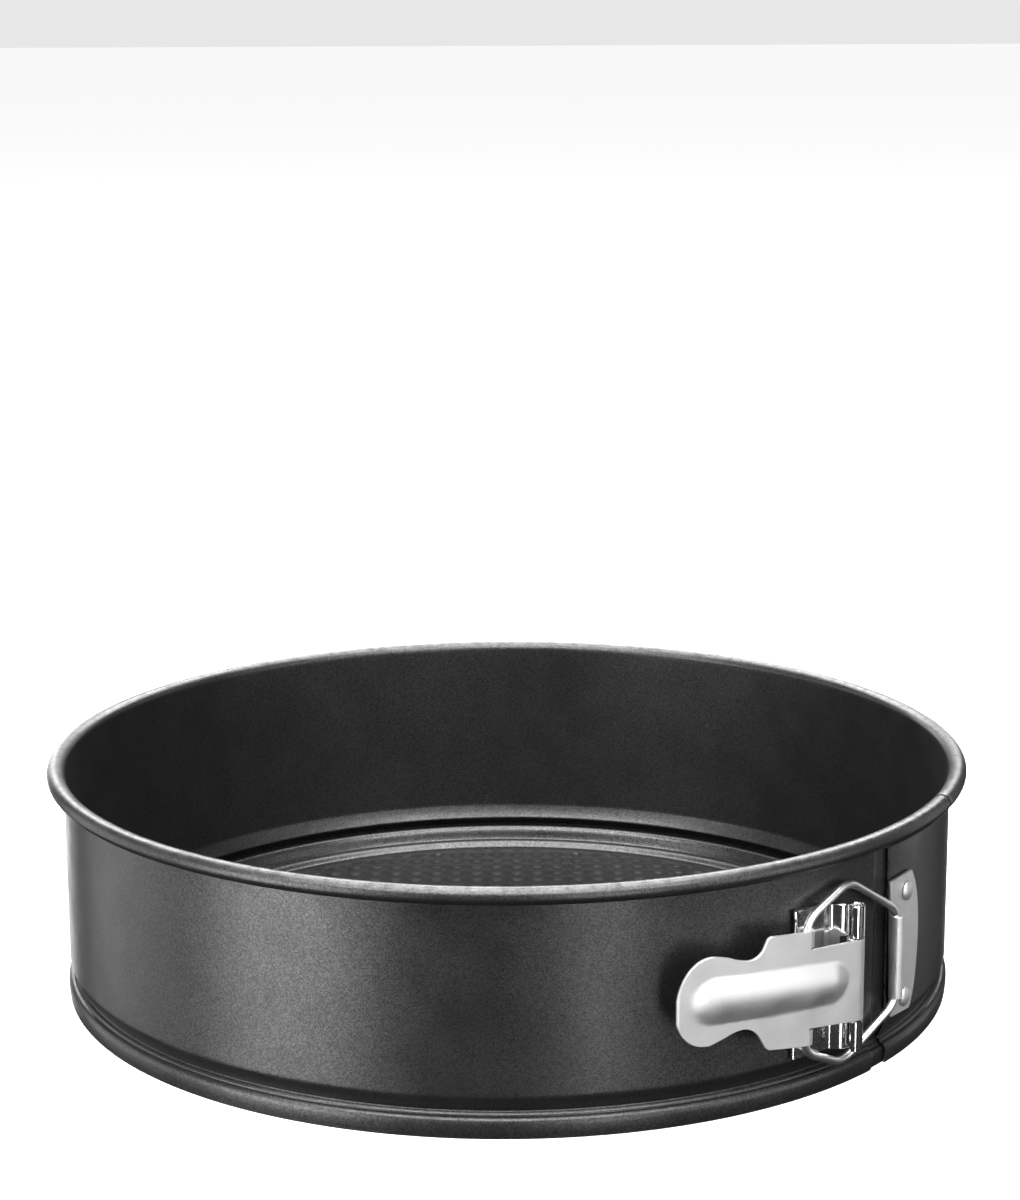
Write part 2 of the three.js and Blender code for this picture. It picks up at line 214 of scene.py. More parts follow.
def addMath(tree, operation, a, b=None):
    node = addNode(tree, "ShaderNodeMath", operation=operation)
    for slot, value in zip(node.inputs, (a, b)):
        if isinstance(value, (int, float)):
            slot.default_value = value
        elif value is not None:
            tree.links.new(value, slot)
    return node.outputs[0]


def addRange(tree, value, fromLow, fromHigh, toLow=0.0, toHigh=1.0):
    node = addNode(tree, "ShaderNodeMapRange", interpolation_type="SMOOTHSTEP")
    tree.links.new(value, node.inputs["Value"])
    limits = {"From Min": fromLow, "From Max": fromHigh, "To Min": toLow, "To Max": toHigh}
    for label, number in limits.items():
        if isinstance(number, (int, float)):
            node.inputs[label].default_value = number
        else:
            tree.links.new(number, node.inputs[label])
    return node.outputs["Result"]


def addMix(tree, factor, a, b):
    node = addNode(tree, "ShaderNodeMix", data_type="RGBA")
    tree.links.new(factor, node.inputs["Factor"])
    for label, value in (("A", a), ("B", b)):
        slot = next(s for s in node.inputs if s.name == label and s.type == "RGBA")
        if isinstance(value, tuple):
            slot.default_value = value
        else:
            tree.links.new(value, slot)
    return next(s for s in node.outputs if s.type == "RGBA")


def addNoise(tree, place, size, detail=2.0, kind="ShaderNodeTexNoise"):
    node = addNode(tree, kind)
    tree.links.new(place, node.inputs["Vector"])
    tree.links.new(addMath(tree, "DIVIDE", 1.0, size), node.inputs["Scale"])
    if kind == "ShaderNodeTexNoise":
        node.inputs["Detail"].default_value = detail
    return node


# Metal flake in a dark coating: grains of random brightness, a few of them bright.
def makeFlakeGroup():
    group, given, made = newGroup("metalFlake", [
        ("Ground", "NodeSocketColor", (0.02, 0.02, 0.02, 1)),
        ("Flake", "NodeSocketColor", (0.3, 0.3, 0.3, 1)),
        ("Size", "NodeSocketFloat", 0.0005), ("Cover", "NodeSocketFloat", 0.3),
        ("Roughness Low", "NodeSocketFloat", 0.35), ("Roughness High", "NodeSocketFloat", 0.5),
    ], [("Color", "NodeSocketColor"), ("Mask", "NodeSocketFloat"), ("Roughness", "NodeSocketFloat"),
        ("Height", "NodeSocketFloat")])
    place = addNode(group, "ShaderNodeTexCoord").outputs["Object"]
    grain = addNoise(group, place, given.outputs["Size"], detail=3.0)
    cell = addNoise(group, place, given.outputs["Size"], kind="ShaderNodeTexVoronoi")
    cloud = addNoise(group, place, addMath(group, "MULTIPLY", given.outputs["Size"], 34.0))
    random = addNode(group, "ShaderNodeSeparateColor")
    group.links.new(cell.outputs["Color"], random.inputs[0])
    threshold = addMath(group, "SUBTRACT", 1.0, given.outputs["Cover"])
    flake = addRange(group, random.outputs[0], threshold, 1.0)
    fine = addRange(group, grain.outputs["Fac"], 0.3, 0.7)
    mask = addMath(group, "ADD", addMath(group, "MULTIPLY", flake, 0.45),
                   addMath(group, "MULTIPLY", fine, 0.55))
    group.links.new(addMix(group, mask, given.outputs["Ground"], given.outputs["Flake"]),
                    made.inputs["Color"])
    group.links.new(mask, made.inputs["Mask"])
    soft = addMath(group, "ADD", addMath(group, "MULTIPLY", grain.outputs["Fac"], 0.5),
                   addMath(group, "MULTIPLY", cloud.outputs["Fac"], 0.5))
    group.links.new(addRange(group, soft, 0.35, 0.65, given.outputs["Roughness Low"],
                             given.outputs["Roughness High"]), made.inputs["Roughness"])
    group.links.new(addMath(group, "ADD", grain.outputs["Fac"],
                            addMath(group, "MULTIPLY", random.outputs[1], 0.5)), made.inputs["Height"])
    return group


# Fine grain of a satin or polished metal, with slow clouds in it.
def makeGrainGroup():
    group, given, made = newGroup("metalGrain", [
        ("Color", "NodeSocketColor", (0.7, 0.7, 0.7, 1)),
        ("Shade", "NodeSocketColor", (0.6, 0.6, 0.6, 1)),
        ("Size", "NodeSocketFloat", 0.0004), ("Stretch", "NodeSocketVector", (1, 1, 1)),
        ("Roughness Low", "NodeSocketFloat", 0.3), ("Roughness High", "NodeSocketFloat", 0.4),
    ], [("Color", "NodeSocketColor"), ("Roughness", "NodeSocketFloat"), ("Height", "NodeSocketFloat")])
    place = addNode(group, "ShaderNodeTexCoord").outputs["Object"]
    stretched = addNode(group, "ShaderNodeVectorMath", operation="MULTIPLY")
    group.links.new(place, stretched.inputs[0])
    group.links.new(given.outputs["Stretch"], stretched.inputs[1])
    grain = addNoise(group, stretched.outputs[0], given.outputs["Size"], detail=4.0).outputs["Fac"]
    cloudSize = addMath(group, "MULTIPLY", given.outputs["Size"], 20.0)
    cloud = addNoise(group, place, cloudSize).outputs["Fac"]
    soft = addMath(group, "ADD", addMath(group, "MULTIPLY", grain, 0.6),
                   addMath(group, "MULTIPLY", cloud, 0.4))
    tone = addRange(group, soft, 0.35, 0.65)
    group.links.new(addMix(group, tone, given.outputs["Shade"], given.outputs["Color"]),
                    made.inputs["Color"])
    group.links.new(addRange(group, soft, 0.35, 0.65, given.outputs["Roughness Low"],
                             given.outputs["Roughness High"]), made.inputs["Roughness"])
    group.links.new(grain, made.inputs["Height"])
    return group


# Edges and crests painted lighter: partly handling wear, partly painted highlight.
def makeWearSheenGroup():
    group, given, made = newGroup("edgeWearAndSheen", [
        ("Color", "NodeSocketColor", (0.5, 0.5, 0.5, 1)),
        ("Wear And Sheen", "NodeSocketColor", (0.6, 0.6, 0.6, 1)),
        ("Amount", "NodeSocketFloat", 0.5), ("Spot Size", "NodeSocketFloat", 0.003),
    ], [("Color", "NodeSocketColor"), ("Mask", "NodeSocketFloat")])
    place = addNode(group, "ShaderNodeTexCoord").outputs["Object"]
    crest = addNode(group, "ShaderNodeAttribute", attribute_name="wearAndSheen").outputs["Fac"]
    spots = addRange(group, addNoise(group, place, given.outputs["Spot Size"]).outputs["Fac"], 0.3, 0.6)
    mask = addMath(group, "MULTIPLY", addMath(group, "MULTIPLY", crest, spots), given.outputs["Amount"])
    group.links.new(addMix(group, mask, given.outputs["Color"], given.outputs["Wear And Sheen"]),
                    made.inputs["Color"])
    group.links.new(mask, made.inputs["Mask"])
    return group


flakeGroup, grainGroup, wearSheenGroup = makeFlakeGroup(), makeGrainGroup(), makeWearSheenGroup()


def addGroup(tree, group, values):
    node = addNode(tree, "ShaderNodeGroup", node_tree=group)
    for label, value in values.items():
        node.inputs[label].default_value = value
    return node


def grey(value):
    return (value, value, value, 1.0)


def newMaterial(name):
    material = bpy.data.materials.new(name)
    material.use_nodes = True
    tree = material.node_tree
    tree.nodes.clear()
    shader = addNode(tree, "ShaderNodeBsdfPrincipled")
    output = addNode(tree, "ShaderNodeOutputMaterial")
    tree.links.new(shader.outputs[0], output.inputs["Surface"])
    return material, tree, shader


def addRelief(tree, shader, height, strength, depth):
    bump = addNode(tree, "ShaderNodeBump")
    bump.inputs["Strength"].default_value = strength
    bump.inputs["Distance"].default_value = depth
    tree.links.new(height, bump.inputs["Height"])
    tree.links.new(bump.outputs["Normal"], shader.inputs["Normal"])


def coatedFinish(name, look):
    material, tree, shader = newMaterial(name)
    flake = addGroup(tree, flakeGroup, {
        "Ground": grey(look["ground"]), "Flake": grey(look["flake"]), "Size": look["grain"] * mm,
        "Cover": look["cover"],
        "Roughness Low": look["roughness"][0], "Roughness High": look["roughness"][1]})
    # Lighter colour on free edges and the roll's crest: partly wear, partly painted highlight.
    wearSheen = addGroup(tree, wearSheenGroup, {"Wear And Sheen": grey(look["wearAndSheen"]), "Amount": look["wearSheen"]})
    tree.links.new(flake.outputs["Color"], wearSheen.inputs["Color"])
    tree.links.new(wearSheen.outputs["Color"], shader.inputs["Base Color"])
    tree.links.new(flake.outputs["Roughness"], shader.inputs["Roughness"])
    metallic = addRange(tree, flake.outputs["Mask"], 0.0, 1.0, look["metal"][0], look["metal"][1])
    tree.links.new(metallic, shader.inputs["Metallic"])
    shader.inputs["Coat Weight"].default_value = look["clear"]
    shader.inputs["Coat Roughness"].default_value = look["clear roughness"]
    addRelief(tree, shader, flake.outputs["Height"], look["relief"], look["grain"] * mm * 0.3)
    return material


def steelFinish(name, look):
    material, tree, shader = newMaterial(name)
    grain = addGroup(tree, grainGroup, {
        "Color": grey(look["light"]), "Shade": grey(look["shade"]), "Size": look["grain"] * mm,
        "Stretch": look["stretch"],
        "Roughness Low": look["roughness"][0], "Roughness High": look["roughness"][1]})
    # Brighter colour on free edges: partly wear, partly painted highlight.
    wearSheen = addGroup(tree, wearSheenGroup, {"Wear And Sheen": grey(look["wearAndSheen"]), "Amount": look["wearSheen"]})
    tree.links.new(grain.outputs["Color"], wearSheen.inputs["Color"])
    tree.links.new(wearSheen.outputs["Color"], shader.inputs["Base Color"])
    tree.links.new(grain.outputs["Roughness"], shader.inputs["Roughness"])
    shader.inputs["Metallic"].default_value = 1.0
    addRelief(tree, shader, grain.outputs["Height"], look["relief"], look["grain"] * mm * 0.2)
    return material


# The lighter edge colour and amount in each finish paint free edges and the roll's crest brighter:
# partly wear, partly painted highlight.
bandCoating = coatedFinish("bandCoating", {
    "ground": 0.011, "flake": 0.084, "grain": 0.38, "cover": 0.85, "roughness": (0.33, 0.43),
    "metal": (0.7, 1.0), "clear": 0.12, "clear roughness": 0.28,
    "wearAndSheen": 0.2, "wearSheen": 0.5, "relief": 0.19})
baseCoating = coatedFinish("baseCoating", {
    "ground": 0.010, "flake": 0.09, "grain": 0.38, "cover": 0.7, "roughness": (0.26, 0.34),
    "metal": (0.6, 1.0), "clear": 0.2, "clear roughness": 0.2,
    "wearAndSheen": 0.12, "wearSheen": 0.4, "relief": 0.16})
satinSteel = steelFinish("satinSteel", {
    "light": 0.71, "shade": 0.64, "grain": 0.35, "stretch": (1, 1, 1), "roughness": (0.42, 0.50),
    "wearAndSheen": 0.9, "wearSheen": 0.4, "relief": 0.10})
wireSteel = steelFinish("wireSteel", {
    "light": 0.82, "shade": 0.74, "grain": 0.5, "stretch": (1, 1, 1), "roughness": (0.28, 0.36),
    "wearAndSheen": 0.9, "wearSheen": 0.3, "relief": 0.03})
chromePlate = steelFinish("chromePlate", {
    "light": 0.80, "shade": 0.72, "grain": 3.0, "stretch": (1, 1, 0.5), "roughness": (0.09, 0.14),
    "wearAndSheen": 0.9, "wearSheen": 0.2, "relief": 0.05})
print("finishes made")

band = {
    "sheet": 0.5, "roll height": 4.3, "roll end": -125.0, "roll steps": 28,
    "outer layer top": 63.3,
    "inner layer": (63.4, 65.2),  # below this the latch end lies behind the catch end
    "inner step": 0.85, "step azimuths": (49.0, 50.0), "inner layer end": 66.0, "rim start": 66.5,
    "back": (142.2, 322.2),
    "neck": (  # out from the wall, height
        (0, 12.4), (0, 11.3), (-0.35, 10.3), (-0.95, 8.9), (-1.65, 7.6), (-2.0, 7.1), (-1.95, 6.75),
        (-1.7, 6.5), (-1.35, 6.3), (-1.05, 6.0), (-0.95, 5.75), (-0.9, 5.55), (-0.6, 5.45),
        (-0.2, 5.35), (0.15, 5.1), (0.42, 4.7), (0.58, 4.2), (0.62, 3.6), (0.6, 2.6), (0.52, 1.6),
        (0.42, 0.8), (0.35, 0.3)),
    "foot": (0.16, 0.0),
}
wallMiddle = wallOutside - band["sheet"] / 2


# The middle of the sheet as (radius, height), from the hidden end of the roll to the foot.
def bandProfile():
    across = (rimOutside - band["sheet"] / 2 - wallMiddle) / 2
    up = band["roll height"] / 2
    centre = Vector((wallMiddle + across, panHeight - band["sheet"] / 2 - up))
    roll = []
    for i in range(band["roll steps"] + 1):
        turn = math.radians(mix(band["roll end"], 180.0, i / band["roll steps"]))
        roll.append(centre + Vector((across * math.cos(turn), up * math.sin(turn))))
    wall = [Vector((wallMiddle, z)) for z in (band["inner layer"][1], 64.3, band["inner layer"][0],
                                              band["outer layer top"], 62.9, 58, 48, 36, 24, 14)]
    neck = [Vector((wallMiddle + out, z)) for out, z in band["neck"]]
    return roll + wall + softened(neck) + [Vector((neck[-1].x, z)) for z in band["foot"]]


profile = bandProfile()
profileNormals = []
for i, point in enumerate(profile):
    along = (profile[min(i + 1, len(profile) - 1)] - profile[max(i - 1, 0)]).normalized()
    profileNormals.append(Vector((along.y, -along.x)))
outerLayerTop = next(k for k, point in enumerate(profile)
                     if abs(point.y - band["outer layer top"]) < 1e-6 and point.x == wallMiddle)


def bandColumn(azimuth, inward=0.0):
    column = []
    for point, normal in zip(profile, profileNormals):
        share = 1 - smoothStep(*band["inner layer"], point.y)
        moved = point + normal * (band["inner step"] * inward * share)
        column.append(onPan(moved.x, azimuth, max(moved.y, 0.0)))
    return column


# One column for each degree, with close ones at both ends.
def azimuths(start, end, extra=()):
    whole = [start + i * (end - start) / round(end - start) for i in range(round(end - start) + 1)]
    return sorted(set(whole + [start + 0.25, start + 0.5, end - 0.5, end - 0.25] + list(extra)))


# The crest of the roll, painted lighter: partly wear from hands and racks, partly painted highlight.
def rollCrestWearSheen(place):
    return 0.6 * smoothStep(panHeight - 1.4, panHeight - 0.3, place.z)


def bandPiece(name, stops, metal=lambda j, k: True, inward=lambda azimuth: 0.0, joined=()):
    places = [bandColumn(azimuth, inward(azimuth)) for azimuth in stops]
    shell = sheetShell(places, lambda j, k: band["sheet"] / 2, metal, joined=joined, crest=rollCrestWearSheen)
    return finishMesh(name, cleanMesh(name, *shell), bandCoating)


latchStops = azimuths(band["back"][1] - 360, band["inner layer end"],
                      [band["step azimuths"][0] + i * 0.1 for i in range(11)])
latchEnd = bandPiece("side_band_latch_end", latchStops, joined=(0,),
                     inward=lambda azimuth: smoothStep(*band["step azimuths"], azimuth))
catchStops = azimuths(seamAzimuth, band["back"][0], [band["rim start"]])
rimStart = catchStops.index(band["rim start"])
catchEnd = bandPiece("side_band_catch_end", catchStops, joined=(len(catchStops) - 1,),
                     metal=lambda j, k: k >= outerLayerTop or j >= rimStart)
backStops = azimuths(*band["back"])
bandBack = bandPiece("side_band_back", backStops, joined=(0, len(backStops) - 1))
print("side band made")

base = {
    "sheet": 0.6, "edge": 129.0, "edge height": 1.9,
    "outer crest": (125.3, 5.1), "inner crest": (117.3, 2.6),  # radius, height
    "waffle radius": 112.0, "waffle pitch": 6.7, "land": 0.95, "pocket": 0.25, "pocket share": 0.80,
    "cells": 200, "overlap": 0.4,
}


# The floor's upper face: flat lands between rounded pockets, fading out at the rim.
def waffleHeight(x, y):
    def cup(value):
        across = abs((value / base["waffle pitch"]) % 1.0 - 0.5) * 2 / base["pocket share"]
        return 1 - smoothStep(0.4, 1.0, across)

    fade = 1 - smoothStep(base["waffle radius"] - 3.5, base["waffle radius"] - 0.5, math.hypot(x, y))
    pattern = mix(base["land"], base["pocket"], cup(x) * cup(y))
    return mix(base["sheet"], pattern, fade)


# The middle of the sheet as (radius, height): a few corners for each ridge, then rounded.
def baseSection():
    middle = base["sheet"] / 2
    (outerRadius, outerTop), (innerRadius, innerTop) = base["outer crest"], base["inner crest"]
    outerMid, innerMid = outerTop - middle, innerTop - middle
    corners = [Vector(p) for p in (
        (base["waffle radius"] + base["overlap"], middle),
        (innerRadius - 3.6, middle), (innerRadius - 2.6, middle + 0.3),
        (innerRadius - 1, innerMid), (innerRadius + 1, innerMid),
        (innerRadius + 2.6, middle + 0.3), (innerRadius + 3.4, middle),
        (outerRadius - 3.2, middle), (outerRadius - 2.4, middle + 0.5),
        (outerRadius - 0.9, outerMid - 0.05), (outerRadius + 0.7, outerMid - 0.05),
        (outerRadius + 1.6, base["edge height"] + 0.5), (outerRadius + 2.3, base["edge height"]),
        (base["edge"] - 0.15, base["edge height"]))]
    return softened(corners, passes=3)


# A square grid drawn out to a disc carries the waffle; the rings outside it follow the section.
def makeBase():
    count, radius = base["cells"], base["waffle radius"]
    points, index = [], {}
    for i in range(count + 1):
        for j in range(count + 1):
            u, v = 2 * i / count - 1, 2 * j / count - 1
            x = radius * u * math.sqrt(1 - v * v / 2)
            y = radius * v * math.sqrt(1 - u * u / 2)
            index[i, j] = len(points)
            points.append(Vector((x, y, waffleHeight(x, y))))
    faces = [[index[i, j], index[i + 1, j], index[i + 1, j + 1], index[i, j + 1]]
             for i in range(count) for j in range(count)]
    loop = ([index[i, 0] for i in range(count)] + [index[count, j] for j in range(count)]
            + [index[i, count] for i in range(count, 0, -1)]
            + [index[0, j] for j in range(count, 0, -1)])
    directions = [Vector((points[n].x, points[n].y)).normalized() for n in loop]
    middle = baseSection()
    half = base["sheet"] / 2
    upper, lower = [], []
    for i, point in enumerate(middle):
        along = (middle[min(i + 1, len(middle) - 1)] - middle[max(i - 1, 0)]).normalized()
        side = Vector((-along.y, along.x)) * half
        upper.append(point + side)
        lower.append(Vector((point.x - side.x, max(point.y - side.y, 0.0))))
    tip = [middle[-1] + Vector((half * math.cos(turn), half * math.sin(turn)))
           for turn in (math.radians(a) for a in (60, 30, 0, -30, -60))]
    section = upper + tip + lower[::-1] + [Vector((radius - base["overlap"], 0.0))]
    for radial in section:
        start = len(points)
        points += [Vector((d.x * radial.x, d.y * radial.x, radial.y)) for d in directions]
        ring = list(range(start, start + len(loop)))
        faces += [[loop[n], ring[n], ring[(n + 1) % len(ring)], loop[(n + 1) % len(ring)]]
                  for n in range(len(ring))]
        loop = ring
    faces.append(loop)
    return finishMesh("springform_base", cleanMesh("springform_base", points, faces), baseCoating)


springformBase = makeBase()
print("base made")

latch = {
    "sheet": 0.9, "roll": 1.95, "bracket": (12.2, 52.7), "sleeve": (20.9, 43.5), "knuckle gap": 0.35,
    "leaf left": 17.9, "leaf right": 5.8, "leaf middle": 131.25, "leaf top": 53.6,
    "leaf lift": 0.5, "leaf lift width": 1.2, "bracket turn": (-90, 168), "sleeve turn": (90, -205),
    "ramp": ((-5.7, -5.17), (-4.9, -5.05), (-4.2, -4.6), (-3.4, -3.7), (-2.5, -2.75), (-1.5, -2.15),
             (-0.7, -1.98), (0.0, -1.95)),  # along and out from the pin
    "rivets": (27.0, 38.0), "rivet left": 12.5,
}
tangent = Vector((math.cos(math.radians(pinAzimuth)), math.sin(math.radians(pinAzimuth)), 0))
outward = onPan(1, pinAzimuth)


# A place near the pin: along to the right, out from the pin's centre, and height.
def byPin(along, out, height=0.0):
    return Vector((pinCentre.x, pinCentre.y, height)) + tangent * along + outward * out


def rollAround(start, end, steps):
    stops = [math.radians(mix(start, end, i / steps)) for i in range(steps + 1)]
    return [(latch["roll"] * math.cos(turn), latch["roll"] * math.sin(turn)) for turn in stops]


def makeBracket():
    low, high = latch["bracket"]
    end = latch["leaf left"]
    leaf = []
    for left in edged(end, latch["leaf right"], 16)[:-2]:
        lifted = latch["leaf lift"] * smoothStep(end - latch["leaf lift width"], end, left)
        leaf.append(onPan(latch["leaf middle"] + lifted, pinAzimuth - left / alongDegree))
    ramp = [byPin(*point) for point in softened([Vector(p) for p in latch["ramp"]])][1:-1]
    roll = [byPin(*point) for point in rollAround(*latch["bracket turn"], 24)]
    path = leaf + ramp + roll
    rollStart = len(leaf) + len(ramp) // 2
    sleeveLow = latch["sleeve"][0] - latch["knuckle gap"]
    sleeveHigh = latch["sleeve"][1] + latch["knuckle gap"]
    heights = (edged(low, sleeveLow, 5) + edged(sleeveLow, sleeveHigh, 8)[1:]
               + edged(sleeveHigh, high, 5)[1:])
    notch = [i for i, z in enumerate(heights) if sleeveLow <= z < sleeveHigh]

    # The leaf's top stands a little higher than the knuckle's.
    def lift(j, z):
        leafShare = 1 - smoothStep(len(leaf) - 6, len(leaf) + 4, j)
        return z + (latch["leaf top"] - high) * smoothStep(sleeveHigh, high, z) * leafShare

    places = [[point + Vector((0, 0, lift(j, z))) for z in heights] for j, point in enumerate(path)]
    shell = sheetShell(places, lambda j, k: latch["sheet"] / 2,
                       metal=lambda j, k: k not in notch or j < rollStart)
    return finishMesh("latch_bracket", cleanMesh("latch_bracket", *shell), chromePlate)


# A piece turned from a section of (radius, height); where() puts its points in the scene.
def turnedPiece(name, section, where, material, steps=32):
    points, faces, rings = [], [], []
    for radius, height in section:
        if radius == 0:
            rings.append([len(points)] * steps)
            points.append(where(0, 0, height))
        else:
            rings.append(list(range(len(points), len(points) + steps)))
            points += [where(radius, 2 * math.pi * i / steps, height) for i in range(steps)]
    for low, high in zip(rings, rings[1:]):
        for i in range(steps):
            n = (i + 1) % steps
            face = list(dict.fromkeys([low[i], low[n], high[n], high[i]]))
            faces.append(face)
    return finishMesh(name, cleanMesh(name, points, faces), material)


pin = {"radius": 1.2, "rounding": 0.35, "inset": 0.4}


def makePin():
    radius, rim = pin["radius"], pin["rounding"]
    low, high = latch["bracket"][0] + pin["inset"], latch["bracket"][1] - pin["inset"]
    cut = rim * 0.3
    section = [(0.0, low), (radius - rim, low), (radius - cut, low + cut), (radius, low + rim)]
    section += [(radius, mix(low + rim, high - rim, i / 8)) for i in range(1, 8)]
    section += [(radius, high - rim), (radius - cut, high - cut), (radius - rim, high), (0.0, high)]

    def where(r, turn, z):
        return byPin(r * math.cos(turn), r * math.sin(turn), z)

    return turnedPiece("hinge_pin_bar", section, where, chromePlate)


wire = {
    "radius": 1.1, "bend": 4.6, "leg": (135.2, 34.9892),  # the leg's radius and azimuth on the pan
    "upper arm": ((0, 31.6), (0, 44.6), (22.6, 58.2)),  # along from the barrel, height
    "leg corners": ((-0.6, 51.4), (0, 33), (-0.6, 15.0)),  # along from the leg, height
    "lower arm": ((23.8, 7.6), (0, 18.0), (0, 30.9)),
}
lever = {
    "plan": ((0, 138.25), (10.2, 137.65), (20.5, 137.8), (29.6, 138.25), (41, 139.25), (52.4, 140.65),
             (61.5, 141.65)),  # left of the pin, radius on the pan
    "slit": 17.4, "ear foot": 30.2,
    "upper": ((31.2, 50.4), (32.4, 48.0), (34.1, 46.5), (36.6, 45.9), (40, 46.7), (43, 47.9),
              (47.2, 49.0)),
    "lower": ((31.2, 20.6), (32.2, 22.2), (33.6, 24.6), (35.2, 26.3), (37.6, 27.4), (40.6, 27.3),
              (44.1, 26.2), (47.8, 25.1)),
    "tip": 57.0, "tip middle": 35.0, "tip roundness": 2.3, "slit fade": 31.0,
    "ear": (18.1, 49.6), "ear left": (20.0, 51.0), "ear inside": (22.2, 45.0), "hinge": (22.9, 44.6),
    "curl": (1.62, 1.75), "curl half": 0.36,
    "bulge": ((46.4, 37.0, 6.3), (10.4, 33.9, 5.6)),  # left of the pin, height, half width
    "bulge height": 1.4, "bulge shoulder": 1.2,
}


def leverRadius(left):
    return through(lever["plan"], left)


# Upper and lower edge of the lever's plate at a distance left of the pin.
def leverEdges(left):
    tip, middle = lever["tip"], lever["tip middle"]
    edges = []
    for ear, side in enumerate(("lower", "upper")):
        knots = lever[side]
        turnStart = knots[-1][0]
        if left <= lever["slit"]:
            edge = mix(latch["sleeve"][ear], lever["hinge"][ear], left / lever["slit"])
        elif left <= lever["ear foot"]:
            edge = mix(lever["ear"][ear], lever["ear left"][ear],
                       (left - lever["slit"]) / (lever["ear foot"] - lever["slit"]))
        elif left <= turnStart:
            edge = through(((lever["ear foot"], lever["ear left"][ear]),) + knots, left)
        else:
            reach = (left - turnStart) / (tip - turnStart)
            share = math.sqrt(max(1 - reach ** lever["tip roundness"], 0.0))
            edge = middle + (knots[-1][1] - middle) * share
        edges.append(edge)
    return edges


# The bulge is a dome round a line between two points of the plate.
def bulgeHeight(left, height):
    (leftA, zA, rA), (leftB, zB, rB) = lever["bulge"]
    share = min(max(((left - leftA) * (leftB - leftA) + (height - zA) * (zB - zA))
                    / ((leftB - leftA) ** 2 + (zB - zA) ** 2), 0.0), 1.0)
    gap = math.hypot(left - mix(leftA, leftB, share), height - mix(zA, zB, share)) / mix(rA, rB, share)
    return lever["bulge height"] * max(1 - gap**2, 0.0) ** lever["bulge shoulder"]


def leverPlace(left, height):
    azimuth = pinAzimuth - left / alongDegree
    return onPan(leverRadius(left) + bulgeHeight(left, height), azimuth, height)


# Columns run from the tip to the slit; beyond it the ears curl round the wire and the middle
# goes on to the roll round the pin.
def makeLever():
    tipReach = 9.2
    tipTurns = [math.radians(a) for a in (76, 68, 60, 51, 42, 33, 24, 16, 8, 0)]
    tipStops = [lever["tip"] - tipReach * (1 - math.sin(turn)) for turn in tipTurns]
    body = [47.3 - i * 0.42 for i in range(1, 39)]
    earStops = [30.9, 30.5, 30.2, 29.6, 28.8] + [28.0 - i * 0.66 for i in range(15)]
    slitStops = [lever["slit"] + 0.4, lever["slit"] + 0.16, lever["slit"]]
    shared = tipStops + body + [s for s in earStops if s < body[-1] and s > slitStops[0]] + slitStops
    turnAt = len(shared) - 1
    hinge = [lever["slit"] - 0.2, lever["slit"] - 0.5] + [16.6 - i * 0.66 for i in range(25)]
    roll = [byPin(*point) for point in rollAround(*latch["sleeve turn"], 26)][1:]

    # The ear's curl round the wire leg, as (along, out) from the leg's centre.
    legRadius, legAzimuth = wire["leg"]
    legCentre = onPan(legRadius, legAzimuth)
    legTangent, legOut = onPan(1, legAzimuth + 90), onPan(1, legAzimuth)
    top = leverRadius(lever["slit"]) - legRadius
    sideways, below = lever["curl"]
    curl = []
    for i in range(1, 23):
        turn = math.radians(mix(90, -150, i / 22))
        curl.append((sideways * math.cos(turn), (top if turn > 0 else below) * math.sin(turn)))

    places = []
    for j in range(turnAt + 1 + max(len(curl), len(hinge) + len(roll))):
        left = shared[j] if j <= turnAt else lever["slit"]
        low, high = leverEdges(max(left, lever["slit"] + 1e-6))
        nearSlit = 1 - smoothStep(lever["slit"], lever["slit fade"], left)
        # Towards the tip these lines are shares of the plate's width.
        lowBreak, hingeLow, hingeHigh, highBreak = (
            mix(mix(low, high, share), height, nearSlit) for share, height in (
                (0.13, lever["ear inside"][0]), (0.16, lever["hinge"][0]),
                (0.84, lever["hinge"][1]), (0.86, lever["ear inside"][1])))
        beyond = j - turnAt
        if beyond <= 0:
            heights = (edged(low, lowBreak, 5) + edged(hingeLow, hingeHigh, 30)
                       + edged(highBreak, high, 5))
            column = [leverPlace(left, z) for z in heights]
        else:
            path = curl[min(beyond, len(curl)) - 1]
            ear = legCentre + legTangent * path[0] + legOut * path[1]
            if beyond <= len(hinge):
                left = hinge[beyond - 1]
                middleLow, middleHigh = leverEdges(left)
                centre = [leverPlace(left, z) for z in edged(middleLow, middleHigh, 30)]
            else:
                point = roll[min(beyond - len(hinge), len(roll)) - 1]
                centre = [point + Vector((0, 0, z)) for z in edged(*latch["sleeve"], 30)]
            column = ([ear + Vector((0, 0, z)) for z in edged(low, lowBreak, 5)] + centre
                      + [ear + Vector((0, 0, z)) for z in edged(highBreak, high, 5)])
        places.append(column)
    earLines = len(edged(0, 1, 5))
    total = len(places[0])

    def metal(j, k):
        inGap = k in (earLines - 1, total - earLines - 1)
        inEar = k < earLines - 1 or k > total - earLines - 1
        if j < turnAt:
            return True
        if inGap:
            return False
        return j - turnAt < len(curl) if inEar else j - turnAt < len(hinge) + len(roll)

    def half(j, k):
        inEar = k < earLines or k >= total - earLines
        return latch["sheet"] / 2 if j <= turnAt or not inEar else lever["curl half"]

    shell = sheetShell(places, half, metal)
    return finishMesh("lever_plate", cleanMesh("lever_plate", *shell), satinSteel)


bracket = makeBracket()
hingePin = makePin()
leverPlate = makeLever()
print("lever and hinge made")


